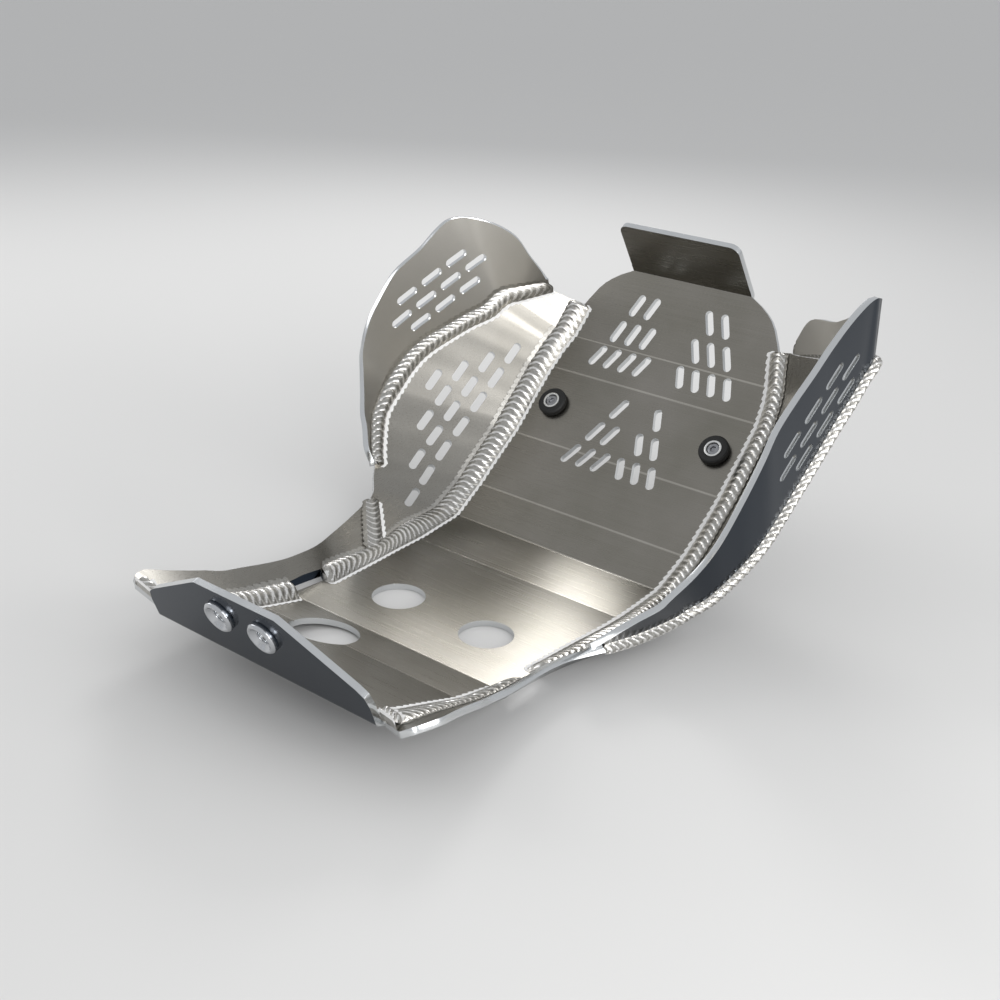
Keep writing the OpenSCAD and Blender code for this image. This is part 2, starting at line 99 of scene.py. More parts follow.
def new_material(name, base, metallic, roughness):
    """A material and its shader."""
    material = bpy.data.materials.new(name)
    material.use_nodes = True
    shader = material.node_tree.nodes["Principled BSDF"]
    shader.inputs["Base Color"].default_value = colour(base)
    shader.inputs["Metallic"].default_value = metallic
    shader.inputs["Roughness"].default_value = roughness
    return material, shader


def join(material, source, output, shader, socket):
    """Links a node's output to a socket of the shader."""
    material.node_tree.links.new(source.outputs[output], shader.inputs[socket])


def noise(material, place, size, detail, **settings):
    """Noise of a given grain size in mm, in the object's own coordinates."""
    settings.update({"Scale": 1 / (size * MM), "Detail": detail})
    return add(material, "ShaderNodeTexNoise", settings, Vector=(place, "Object"))


def roughen(material, shader, source, low, high, span=None):
    """Lets a noise wander between two values of roughness."""
    settings = {"To Min": low, "To Max": high}
    if span:
        settings.update({"From Min": span[0], "From Max": span[1]})
    rough = add(material, "ShaderNodeMapRange", settings, Value=(source, "Fac"))
    join(material, rough, "Result", shader, "Roughness")


def emboss(material, shader, source, strength, distance):
    """Bumps the surface by a noise; the distance is in mm."""
    settings = {"Strength": strength, "Distance": distance * MM}
    bump = add(material, "ShaderNodeBump", settings, Height=(source, "Fac"))
    join(material, bump, "Normal", shader, "Normal")


def tint(material, shader, source, output, stops):
    """Colours the surface by a noise: (position, colour) of the ramp's two ends."""
    ramp = add(material, "ShaderNodeValToRGB", Fac=(source, output))
    for element, (position, shade) in zip(ramp.color_ramp.elements, stops):
        element.position = position
        element.color = colour(shade)
    join(material, ramp, "Color", shader, "Base Color")


def brushed_aluminium(name, dark, light, grain, roughness):
    """Mill-finished 5000-series sheet, rubbed one way: fine hair lines 70 mm long and clouds of
    handling 70 mm across."""
    material, shader = new_material(name, dark, 1.0, roughness)
    place = add(material, "ShaderNodeTexCoord")
    across, along = 1 / (0.6 * MM), 1 / (70 * MM)
    scale = [along if axis == grain else across for axis in "XYZ"]
    hair = add(material, "ShaderNodeMapping", {"Scale": scale}, Vector=(place, "Object"))
    lines = {"Scale": 1.0, "Detail": 4.0, "Roughness": 0.7}
    hairs = add(material, "ShaderNodeTexNoise", lines, Vector=(hair, "Vector"))
    clouds = noise(material, place, 70, 3.0, Roughness=0.6)
    blend = add(material, "ShaderNodeMath", {"operation": "MULTIPLY_ADD", 1: 0.55}, Value=(hairs, "Fac"))
    material.node_tree.links.new(clouds.outputs["Fac"], blend.inputs[2])
    tint(material, shader, blend, "Value", ((0.5, dark), (1.02, light)))
    roughen(material, shader, hairs, roughness - 0.02, roughness + 0.03, (0.3, 0.7))
    emboss(material, shader, hairs, 0.08, 0.05)
    return material


def polished_aluminium(name, base, roughness):
    """Buffed face or edge: a mirror with faint polishing haze 25 mm across. The outer faces' dark base is
    a painted reflection of dark surroundings.
    """
    material, shader = new_material(name, base, 1.0, roughness)
    place = add(material, "ShaderNodeTexCoord")
    haze = noise(material, place, 25, 5.0, Roughness=0.65)
    roughen(material, shader, haze, roughness, roughness + 0.12, (0.35, 0.7))
    return material


def weld_aluminium(name, base, crest):
    """Bead of 4043 filler: silvery coins with a pearly skin."""
    material, shader = new_material(name, base, 1.0, 0.3)
    place = add(material, "ShaderNodeTexCoord")
    skin = noise(material, place, 1.2, 4.0, Roughness=0.6)
    tint(material, shader, skin, "Fac", ((0.3, base), (0.75, crest)))
    emboss(material, shader, skin, 0.1, 0.1)
    return material


def frosty_aluminium(name, base):
    """The etched zone beside a bead, which the arc has cleaned: white and matt."""
    material, shader = new_material(name, base, 0.0, 0.5)
    place = add(material, "ShaderNodeTexCoord")
    grit = noise(material, place, 0.8, 3.0)
    emboss(material, shader, grit, 0.4, 0.1)
    return material


def moulded_rubber(name):
    """Black EPDM buffer, faintly grained by its mould, greyed at the touch."""
    material, shader = new_material(name, "#151515", 0.0, 0.62)
    place = add(material, "ShaderNodeTexCoord")
    grain = noise(material, place, 0.5, 2.0)
    tint(material, shader, grain, "Fac", ((0.0, "#0f0f0f"), (1.0, "#262625")))
    emboss(material, shader, grain, 0.3, 0.1)
    return material


def turned_metal(name, base, roughness):
    """Lathe-turned or plated fitting with fine tool marks."""
    material, shader = new_material(name, base, 1.0, roughness)
    place = add(material, "ShaderNodeTexCoord")
    marks = noise(material, place, 0.7, 2.0)
    roughen(material, shader, marks, roughness - 0.06, roughness + 0.1)
    return material


PLATE = brushed_aluminium("brushed_aluminium_plate", "#838077", "#949089", "X", 0.28)
SIDE = brushed_aluminium("brushed_aluminium_side", "#8c8982", "#9b9892", "Y", 0.28)
# The outer faces' dark blue-grey is a painted reflection of dark surroundings, not the metal's own colour.
MIRROR_PAINTED_DARK = polished_aluminium("polished_aluminium_outer_painted_dark_reflection", "#2f363f", 0.08)
# The ears' sheet is coloured lighter than the other sheets: painted light, for the brighter light they
# catch.
EAR_WITH_PAINTED_LIGHT = brushed_aluminium("brushed_aluminium_ear_painted_light", "#c6c3bc", "#cfccc6", "Y", 0.36)
# Lighter copy of the brushed sheet on the fold radii: painted highlight along the creases.
FOLD_HIGHLIGHT = brushed_aluminium("aluminium_fold_painted_highlight", "#a39f97", "#b5b1a9", "X", 0.25)
# Cut edges and vent walls: polished, and coloured much lighter than the faces as a painted highlight.
EDGE_POLISH_AND_HIGHLIGHT = polished_aluminium("polished_aluminium_edge_painted_highlight", "#d5d7d8", 0.16)
WELD = weld_aluminium("aluminium_weld_bead", "#9d9a94", "#c9c7c2")
FROST = frosty_aluminium("etched_aluminium_fringe", "#fbfaf8")
# Lighter copy of the weld on the ripples' crests: painted highlight.
CREST_HIGHLIGHT = weld_aluminium("aluminium_weld_crest_painted_highlight", "#e4e2de", "#f6f5f3")
RUBBER = moulded_rubber("epdm_rubber_moulded")
SLEEVE = turned_metal("aluminium_sleeve_turned", "#e2e2e0", 0.3)
SCREW = turned_metal("zinc_plated_steel", "#9a9b9e", 0.3)
CUP = turned_metal("aluminium_cup_polished", "#c8cacd", 0.16)

# --- seams and folds of the sheets --------------------------------------------------------

SHEET = 4.0  # thickness of every sheet, mm
BELLY = (-45, 74)  # rear and front end of the flat belly
RAMPS = [(33, 12.5), (74, 18.5)]  # length and slope of the flats behind the belly
FLATS = [(43, 5.2), (32, 29.2), (50, 37.4), (60, 44.2), (28, 48.5), (59, 64.7)]  # and before it
PROFILE = [(BELLY[0], 4)]
for length, slope in RAMPS:
    y, z = PROFILE[0]
    rise = math.radians(slope)
    PROFILE.insert(0, (y - length * math.cos(rise), z + length * math.sin(rise)))
PROFILE.append((BELLY[1], 4))
for length, slope in FLATS:
    y, z = PROFILE[-1]
    rise = math.radians(slope)
    PROFILE.append((y + length * math.cos(rise), z + length * math.sin(rise)))


def lookup(table, y):
    """Value at y in a table of (y, value), straight between its rows."""
    if y <= table[0][0]:
        return table[0][1]
    for (a, u), (b, v) in zip(table, table[1:]):
        if y <= b:
            return u + (v - u) * (y - a) / (b - a)
    return table[-1][1]


BASE = PROFILE[0][0]
# Half the plate's width at stations along it.
EDGES = [(BASE - 4, 86), (BASE, 86), (-45, 86), (0, 88), (65, 92), (117, 94), (156, 96),
         (PROFILE[7][0] - 2, 96), (237, 93.5), (PROFILE[8][0], 90), (252, 86.5), (260, 82.5), (280, 80.5)]


def edge(y):
    """The plate's upper edge on the right, at station y."""
    return Vector((lookup(EDGES, y), y, lookup(PROFILE, y)))


def out(row):
    """A row of a seam table, with its distances out turned into places."""
    return [row[0]] + [Vector((p[0] + lookup(EDGES, row[0]), p[1], p[2])) for p in row[1:]]


# Seams, as distance out from the plate's edge at each station y, then y and z, in mm.
# Wings: seam of panel and ear, then the ear's free edge.
LEFT_WING = [
    (257, (22.5, 240, 151), (22.5, 239.5, 156)), (253, (28, 232, 148.5), (23.5, 234, 165.5)),
    (249, (32.5, 224, 146), (26.5, 226, 177)), (246, (35, 219.5, 144.5), (31.5, 216.5, 192)),
    (243, (38, 215, 143), (41.5, 203.5, 201.5)), (240, (39.5, 211, 140), (54.5, 188, 206)),
    (237, (43, 204.5, 132.5), (58.5, 174, 205)), (229, (49, 188.5, 125.5), (60, 165.5, 199)),
    (220, (55, 172, 117.5), (63.5, 152, 186)), (210, (60.5, 159.5, 111), (70.5, 132.5, 170.5)),
    (204, (63.5, 150, 105), (74, 120, 152.5)), (198, (65.5, 140, 96.5), (76.5, 111.5, 136)),
    (192, (66, 131, 88), (77.5, 105.5, 114)), (189, (66, 126, 83), (73.5, 101.5, 100.5)),
    (184, (65.5, 119, 77), (68.5, 97, 84.5)), (176, (64, 110.5, 68.5), (65, 93.5, 73)),
    (166, (60.5, 104.5, 59.5), (60, 90.5, 64)), (150, (54, 96, 47), (52.5, 84.5, 50.5)),
    (139, (48.5, 90.5, 38), (48.5, 87, 39.5)),
]
RIGHT_WING = [
    (257, (22.5, 240, 148), (23, 238.5, 158)), (252, (44.5, 222, 157), (32, 231.5, 175.5)),
    (246, (66, 204, 165.5), (55.5, 213, 184)), (240, (88.5, 187, 173.5), (93, 172, 215)),
    (236, (85, 178, 161.5), (91.5, 160, 216)), (228, (80.5, 171, 149), (87, 144, 207)),
    (219, (77, 163, 137), (82.5, 129, 192)), (209, (73.5, 153, 121), (79.5, 117, 178)),
    (199, (70, 143, 105), (76, 105, 164)), (189, (66.5, 128, 86), (72.5, 93.5, 148)),
    (176, (64, 112, 69.5), (69.5, 88, 131)), (157, (59, 102, 56.5), (64.5, 77, 105)),
    (140, (52.5, 94, 43.5), (57, 69, 77)), (128, (45.5, 85.5, 32), (48.5, 63, 58)),
    (105, (38.5, 77, 25), (41.5, 50, 44)),
]
PANEL_END = [
    (128, (45.5, 85.5, 32)), (105, (38.5, 77, 25)), (35, (40, 72.5, 22.5)),
]
SILL_FRONT = [
    (35, (40, 72.5, 22.5)), (15, (32, 40, 19)), (2, (24.5, 16, 19)), (-18, (17.5, -7, 20)),
    (-32, (16, -23, 21)), (-45, (16.5, -39, 22)), (-58, (18.5, -56, 24)),
    (-70, (20.5, -71.5, 26.5)), (-82, (21.5, -85.5, 29)), (-92, (24, -96.5, 32.5)),
    (-104, (25.5, -106.5, 35.5)), (-121, (28.5, -122.5, 40.5)),
]
LEFT_SILL_END = [
    (-134, (31.5, -136.5, 45)), (-140, (31, -141.5, 45)), (-144, (29, -145, 44.5)),
    (-146, (25, -148, 42)),
]
RIGHT_SILL_END = [
    (-134, (31, -136, 44)), (-141, (29.5, -145, 44.5)), (-145, (26.5, -153, 44)),
    (-147, (21, -157, 41)),
]
RIGHT_TAIL = [
    (35, (40, 72.5, 22.5), (43, 44, 40)), (15, (32, 40, 19), (38.5, 28, 35.5)),
    (2, (24.5, 16, 19), (35, 9, 32)), (-8, (20.5, 4, 19.5), (29.5, -3, 26)),
]

# --- meshes -----------------------------------------------------------------------------


def keep_in_box(mesh):
    """A spline may swing a fraction of a millimetre past its points: the CAD's box is the limit."""
    low, high = cad_box
    for point in mesh.vertices:
        point.co = [min(max(c, a), b) for c, a, b in zip(point.co, low, high)]


def deselect():
    """Leaves edit mode and selects nothing."""
    if bpy.context.object and bpy.context.object.mode != "OBJECT":
        bpy.ops.object.mode_set(mode="OBJECT")
    bpy.ops.object.select_all(action="DESELECT")


def only(piece):
    """Selects one piece and makes it the active one."""
    deselect()
    piece.select_set(True)
    bpy.context.view_layer.objects.active = piece


def edit(piece, *steps):
    """Runs mesh operators, each with its settings, on the whole of a piece."""
    only(piece)
    bpy.ops.object.mode_set(mode="EDIT")
    bpy.ops.mesh.select_all(action="SELECT")
    for operator, settings in steps:
        operator(**settings)
    bpy.ops.object.mode_set(mode="OBJECT")


def apply(piece, name, kind, **settings):
    """Adds a modifier with its settings and applies it."""
    made = piece.modifiers.new(name, kind)
    for key, value in settings.items():
        setattr(made, key, value)
    bpy.ops.object.modifier_apply(modifier=made.name)


TURN_OUT = (bpy.ops.mesh.normals_make_consistent, {"inside": False})
MERGE_FLAT = (bpy.ops.mesh.dissolve_limited, {"angle_limit": math.radians(1), "delimit": {"MATERIAL"}})


def new_piece(name, points, faces):
    """A linked object from points in mm."""
    mesh = bpy.data.meshes.new(name)
    mesh.from_pydata([tuple(c * MM for c in p) for p in points], [], faces)
    piece = bpy.data.objects.new(name, mesh)
    bpy.context.scene.collection.objects.link(piece)
    return piece


# --- folded sheets ----------------------------------------------------------------------


def strip_normals(first, second):
    """Normals of the sheet between two rails, towards its road side."""
    normals = []
    for i in range(len(first)):
        lo, hi = max(0, i - 1), min(len(first) - 1, i + 1)
        run = (first[hi] + second[hi]) / 2 - (first[lo] + second[lo]) / 2
        normals.append((second[i] - first[i]).cross(run).normalized())
    return normals


def normals_from(first, second, mirrored):
    """A function that gives the rails' own normal, towards the road side, near any point."""
    station = strip_normals(first, second)
    lines, normals = [], []
    for i in range(len(first) - 1):
        for f in (0.0, 0.25, 0.5, 0.75):
            lines.append((first[i].lerp(first[i + 1], f), second[i].lerp(second[i + 1], f)))
            normals.append(station[i].lerp(station[i + 1], f).normalized())
    a = np.array([p[0] for p in lines]) * MM
    b = np.array([p[1] for p in lines]) * MM
    n = np.array(normals)
    if mirrored:
        for table in (a, b, n):
            table[:, 0] *= -1
    ab = b - a

    def normal_at(point):
        p = np.array(point)
        t = np.clip(((p - a) * ab).sum(1) / (ab * ab).sum(1), 0, 1)
        return Vector(n[int(np.argmin(((a + ab * t[:, None] - p) ** 2).sum(1)))])

    return normal_at


INNER, OUTER, CUT_EDGE = 0, 1, 2  # material slots of every sheet
SHADED_GAP_SPAN, SHADED_GAP_TOP = (-0.05, -0.012), 7.5 * MM  # where a sill's drain gap lies, along y and up; its cut walls there are painted dark as shade


def dress_sheet(piece, normal_at, inner):
    """Sorts a twisted sheet's faces into inner, outer and edge by the rails' normals. A sill's cut walls
    in its drain gap take the dark outer material: painted shade.
    """
    mesh = piece.data
    mesh.materials.clear()
    for material in (inner, MIRROR_PAINTED_DARK, EDGE_POLISH_AND_HIGHLIGHT):
        mesh.materials.append(material)
    for face in mesh.polygons:
        facing = face.normal.dot(normal_at(face.center))
        face.material_index = CUT_EDGE if abs(facing) < 0.75 else OUTER if facing > 0 else INNER
        in_shaded_gap = face.center.z < SHADED_GAP_TOP and SHADED_GAP_SPAN[0] < face.center.y < SHADED_GAP_SPAN[1]
        if face.material_index == CUT_EDGE and in_shaded_gap and piece.name.startswith("sill"):  # walls of the gap painted dark as shade
            face.material_index = OUTER


def smooth_sheet(piece, normal_at):
    """Takes the shading of a twisted sheet from its rails, so that the vents leave no dents in it."""
    mesh = piece.data
    at_point = {}
    custom = [(0.0, 0.0, 0.0)] * len(mesh.loops)
    for face in mesh.polygons:
        if face.material_index == CUT_EDGE:
            continue
        for index in face.loop_indices:
            key = mesh.loops[index].vertex_index
            if key not in at_point:
                at_point[key] = normal_at(mesh.vertices[key].co)
            custom[index] = at_point[key] if at_point[key].dot(face.normal) > 0 else -at_point[key]
    mesh.normals_split_custom_set(custom)


INSIDE = Vector((0, 0.06, 0.25))  # a point inside the cradle, which the engine side faces


def copy_of(name):
    """A copy of a CAD node, with its doubled points merged."""
    piece = bpy.data.objects.new(name + "_dressed", nodes[name].data.copy())
    bpy.context.scene.collection.objects.link(piece)
    edit(piece, (bpy.ops.mesh.remove_doubles, {"threshold": 0.01 * MM}))
    return piece


def profile_depth(point, i):
    """Distance in mm of a point from one flat of the plate's inner profile, seen from the side."""
    a, b = Vector(PROFILE[i]), Vector(PROFILE[i + 1])
    p = Vector((point.y, point.z)) / MM
    f = max(0.0, min(1.0, (p - a).dot(b - a) / (b - a).length_squared))
    return (p - a.lerp(b, f)).length


def sort_faces(piece, inner):
    """Sorts the main plate's faces. Broad ones have the sheet's 4 mm behind them, or lie on one of
    the profile's two sides; they are inner or outer by where they look."""
    mesh = piece.data
    mesh.materials.clear()
    for material in (inner, MIRROR_PAINTED_DARK, EDGE_POLISH_AND_HIGHLIGHT, FOLD_HIGHLIGHT):
        mesh.materials.append(material)
    tree = BVHTree.FromPolygons([v.co for v in mesh.vertices], [p.vertices for p in mesh.polygons])
    for face in mesh.polygons:
        hit = tree.ray_cast(face.center - face.normal * 0.02 * MM, -face.normal)
        broad = hit[3] is not None and 3 * MM < hit[3] < 5.4 * MM
        looks_in = face.normal.dot(INSIDE - face.center) > 0
        if abs(face.normal.x) < 0.2:
            depth = min(profile_depth(face.center, i) for i in range(len(PROFILE) - 1))
            broad = broad or depth < 0.4 or 3.5 < depth < 4.6
        face.material_index = CUT_EDGE if not broad else INNER if looks_in else OUTER


SLIGHT_FOLD, SHARP_FOLD = math.radians(2), math.radians(50)


def round_folds(piece):
    """The press brake leaves a small radius at each fold of the plate; the radius takes the lighter fold
    material, a painted highlight along the crease.
    """
    edit(piece, MERGE_FLAT)
    work = bmesh.new()
    work.from_mesh(piece.data)
    layer = work.edges.layers.float.new("bevel_weight_edge")
    for line in work.edges:
        if len(line.link_faces) == 2:
            kinds = {face.material_index for face in line.link_faces}
            lateral = abs(line.verts[0].co.x - line.verts[1].co.x) > 0.8 * line.calc_length()
            if kinds == {INNER} and lateral and SLIGHT_FOLD < line.calc_face_angle() < SHARP_FOLD:
                line[layer] = 1.0
    work.to_mesh(piece.data)
    work.free()
    apply(piece, "fold_radius", "BEVEL", width=1.1 * MM, segments=3, material=3, limit_method="WEIGHT")


def weigh_normals(piece):
    """Lets the large flats decide the shading beside the folds."""
    only(piece)
    apply(piece, "flat_shine", "WEIGHTED_NORMAL", keep_sharp=True, weight=80)


def finish_piece(piece, node, slot, chamfer=0.5 * MM):
    """Breaks the edges, smooths what is round, and hands the piece over in place of its node."""
    only(piece)
    if chamfer:
        edit(piece, MERGE_FLAT)
        finish = min(2, len(piece.data.materials) - 1)  # the edge material, polished and lighter as a painted highlight, where there is one
        apply(piece, "broken_edge", "BEVEL", width=chamfer, segments=2, limit_method="ANGLE",
              angle_limit=math.radians(35), material=finish)
    bpy.ops.object.shade_smooth_by_angle(angle=math.radians(32))
    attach(piece, "root")
    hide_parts(node)


SHEETS = {
    "main_plate": (PLATE, "plate_sheet"),
    "side_panel_left": (SIDE, "panel_sheet"),
    "side_panel_right": (SIDE, "panel_sheet"),
    "sill_left": (SIDE, "sill_sheet"),
    "sill_right": (SIDE, "sill_sheet"),
    "ear_left": (EAR_WITH_PAINTED_LIGHT, "ear_sheet"),
    "ear_right": (EAR_WITH_PAINTED_LIGHT, "ear_sheet"),
}

PANEL_ROWS = [  # first slot of each row, how many, step along the row
    ((17, 208.5, 104), 4, (10.5, -18.3, -5.3)), ((19, 191.5, 88), 3, (10.5, -18.3, -5.3)),
    ((21.5, 174.5, 72), 3, (9.6, -19.2, -4.7)), ((22.5, 156, 57), 2, (9.5, -19.2, -4.6)),
    ((23, 137, 43), 2, (8.6, -19.4, -3.6)), ((21.5, 117.5, 30), 1, (8, -19, -3)),
    ((18.5, 98, 18.5), 1, (8, -19, -3)),
]
EAR_GRID = [(0, 0), (1, 0), (0, 1), (1, 1), (2, 1), (0, 2), (1, 2), (2, 2), (1, 3), (2, 3)]
EAR_SLOTS = {  # first slot, step along a row, step to the next row
    "left": ((48.4, 178, 176.6), (-6.2, 15.1, -4.6), (7.4, -18.7, -12.2)),
    "right": ((80.7, 141.2, 172.2), (1.9, 16.7, 2.4), (-4.2, -13.3, -18.9)),
}
HALF_FRONT = Vector((96, 0, 0))  # the vents are placed from the plate's widest edge


def curve_through(points, per):
    """Points on a centripetal spline through the given ones, per of them for each span."""
    ends = [points[0] * 2 - points[1]] + points + [points[-1] * 2 - points[-2]]
    made = []
    for a, b, c, d in zip(ends, ends[1:], ends[2:], ends[3:]):
        t1 = (b - a).length ** 0.5
        t2 = t1 + (c - b).length ** 0.5
        t3 = t2 + (d - c).length ** 0.5
        for k in range(per):
            t = t1 + (t2 - t1) * k / per
            ab = a * ((t1 - t) / t1) + b * (t / t1)
            bc = b * ((t2 - t) / (t2 - t1)) + c * ((t - t1) / (t2 - t1))
            cd = c * ((t3 - t) / (t3 - t2)) + d * ((t - t2) / (t3 - t2))
            abc = ab * ((t2 - t) / t2) + bc * (t / t2)
            bcd = bc * ((t3 - t) / (t3 - t1)) + cd * ((t - t1) / (t3 - t1))
            made.append(abc * ((t2 - t) / (t2 - t1)) + bcd * ((t - t1) / (t2 - t1)))
    return made + [points[-1]]


def edge_between(rows, per):
    """The plate's own edge at the same stations as curve_through gives."""
    made = []
    for a, b in zip(rows, rows[1:]):
        made += [edge(a[0] + (b[0] - a[0]) * k / per) for k in range(per)]
    return made + [edge(rows[-1][0])]


PER = 5  # points for each span between two rows of a seam


def rails_of(name):
    """The two rails that a sheet is stretched between, before it is mirrored."""
    left = name.endswith("left")
    wing = [out(row) for row in (LEFT_WING if left else RIGHT_WING)]
    if name.startswith("ear"):
        wing += [] if left else [out(row) for row in RIGHT_TAIL]
        seam, free = (curve_through([row[k] for row in wing], PER) for k in (1, 2))
        if left:  # its back passes through the measured outline
            free = [p - v * SHEET for p, v in zip(free, strip_normals(seam, free))]
        return seam, free
    if name.startswith("sill"):
        wing = [out(row) for row in SILL_FRONT + (LEFT_SILL_END if left else RIGHT_SILL_END)]
    else:
        wing += [out(row) for row in PANEL_END if row[0] < wing[-1][0]]
    return edge_between(wing, PER), curve_through([row[1] for row in wing], PER)


SLOT = (18.5, 6.0)  # length and width of a vent
PANEL_SHIFT = Vector((-0.3, 1.0, 0.6))  # lays the panel's vents on the rebuilt sheet
REACH = 14  # half the depth of a cutter
ROUND = 16  # corners of a cutter's outline


def slot_cutter(slots):
    """One mesh of rounded bars to cut the vents: place, length direction and depth direction."""
    radius, straight = SLOT[1] / 2, (SLOT[0] - SLOT[1]) / 2
    points, faces = [], []
    for place, length, depth in slots:
        n = depth.normalized()
        v = length.cross(n).normalized()
        w = n.cross(v)
        first = len(points)
        ring = []
        for turn in range(ROUND):
            angle = 2 * math.pi * (turn + 0.5) / ROUND
            across, up = radius * math.cos(angle), radius * math.sin(angle)
            ring.append((across, up + (straight if up > 0 else -straight)))
        for deep in (-REACH, REACH):
            points += [place + v * x + w * y + n * deep for x, y in ring]
        below = [first + k for k in range(ROUND)]
        above = [first + ROUND + k for k in range(ROUND)]
        faces += [(below[k - 1], below[k], above[k], above[k - 1]) for k in range(1, ROUND)]
        faces += [(below[-1], below[0], above[0], above[-1]), tuple(reversed(below)), tuple(above)]
    return new_piece("cutter", points, faces)


def slots_of(name):
    """The vents of a panel or an ear on the right: place, length direction and depth direction."""
    if name.startswith("side_panel"):
        found = []
        for i, (start, count, step) in enumerate(PANEL_ROWS):
            j = min(i, len(PANEL_ROWS) - 2)
            down = Vector(PANEL_ROWS[j + 1][0]) - Vector(PANEL_ROWS[j][0])
            depth = Vector(step).cross(down)
            place = HALF_FRONT + Vector(start) + PANEL_SHIFT
            found += [(place + Vector(step) * k, down, depth) for k in range(count)]
        return found
    start, step, down = (Vector(v) for v in EAR_SLOTS[name.split("_")[1]])
    return [(HALF_FRONT + start + step * a + down * b, down, step.cross(down)) for a, b in EAR_GRID]


def cut(piece, cutter):
    """Takes a cutter out of a piece and removes the cutter."""
    only(piece)
    apply(piece, "vents", "BOOLEAN", operation="DIFFERENCE", solver="EXACT", object=cutter)
    bpy.data.objects.remove(cutter)


GAP_MIDDLE = (90.2, -31, 3)  # block that cuts a sill's drain gap
GAP_SIZE = (5.6, 32, 16)


def rolled_sheet(name, first, second, inward, mirrored):
    """A sheet of 4 mm stretched between two rails, its thickness behind the face that they mark."""
    n = len(first)
    normals = strip_normals(first, second)
    back = [normal * (-SHEET if inward else SHEET) for normal in normals]
    rows = [list(first), list(second)]
    rows += [[p + v for p, v in zip(rail, back)] for rail in (second, first)]
    flip = -1 if mirrored else 1
    points = [(p.x * flip, p.y, p.z) for row in rows for p in row]
    faces = [(r * n + i, r * n + i + 1, (r + 1) % 4 * n + i + 1, (r + 1) % 4 * n + i)
             for r in range(4) for i in range(n - 1)]
    faces += [(0, n, 2 * n, 3 * n), (n - 1, 4 * n - 1, 3 * n - 1, 2 * n - 1)]
    piece = new_piece(name + "_dressed", points, faces)
    keep_in_box(piece.data)
    edit(piece, (bpy.ops.mesh.quads_convert_to_tris, {}), TURN_OUT)
    if name.startswith("sill"):
        deselect()
        x, y, z = GAP_MIDDLE
        bpy.ops.mesh.primitive_cube_add(size=1, location=(flip * x * MM, y * MM, z * MM),
                                        scale=[size * MM for size in GAP_SIZE])
        cut(piece, bpy.context.object)
    else:
        cutter = slot_cutter(slots_of(name))
        if mirrored:
            for point in cutter.data.vertices:
                point.co.x = -point.co.x
        edit(cutter, TURN_OUT)
        cut(piece, cutter)
    return piece


for name, (inner, slot) in SHEETS.items():
    if name == "main_plate":
        piece = copy_of(name)
        sort_faces(piece, inner)
        round_folds(piece)
        finish_piece(piece, name, slot)
        weigh_normals(piece)
    else:
        rails, mirrored = rails_of(name), name.endswith("left")
        normal_at = normals_from(*rails, mirrored)
        piece = rolled_sheet(name, *rails, name == "ear_right", mirrored)
        dress_sheet(piece, normal_at, inner)
        finish_piece(piece, name, slot)
        smooth_sheet(piece, normal_at)

# --- small fittings ---------------------------------------------------------------------

for side in ("left", "right"):
    for name, material, slot in (
        ("rubber_buffer_", RUBBER, "rubber"),
        ("buffer_sleeve_", SLEEVE, "sleeve"),
        ("buffer_screw_", SCREW, "screw"),
        ("buffer_nut_", SCREW, "nut"),
        ("bolt_cup_", CUP, "cup"),
    ):
        piece = copy_of(name + side)
        piece.data.materials.clear()
        piece.data.materials.append(material)
        finish_piece(piece, name + side, slot, 0.25 * MM)

# --- weld beads -------------------------------------------------------------------------

COIN = 5.2  # spacing of the ripples along a bead
BOW = 5.0  # how far a ripple's middle runs ahead of its ends
STEP = 0.5  # spacing of the sections along a bead
FRINGE = 2.0  # width of the etched zone beside each toe
ACROSS = 16  # faces across a bead
HOLLOW = 0.22  # share of a ripple that is the hollow behind the one before it
CREST_HIGHLIGHT_SPAN = (0.62, 0.95)  # share of a ripple whose crest is painted bright as a highlight
TIP, TAPER = 0.55, 5.0  # thinness of a bead's very end, and how it grows from there


def along(rail, place):
    """Point of a rail at a place: (segment, fraction)."""
    i, f = place
    return rail[i].lerp(rail[i + 1], f)


def stations(rail, step):
    """Places along a rail at an even spacing: ((segment, fraction), distance, whole length)."""
    lengths = [(b - a).length for a, b in zip(rail, rail[1:])]
    total = sum(lengths)
    count = max(8, round(total / step))
    places, i, before = [], 0, 0.0
    for k in range(count + 1):
        s = total * k / count
        while i < len(lengths) - 1 and s > before + lengths[i]:
            before += lengths[i]
            i += 1
        places.append(((i, min(1.0, (s - before) / lengths[i])), s, total))
    return places


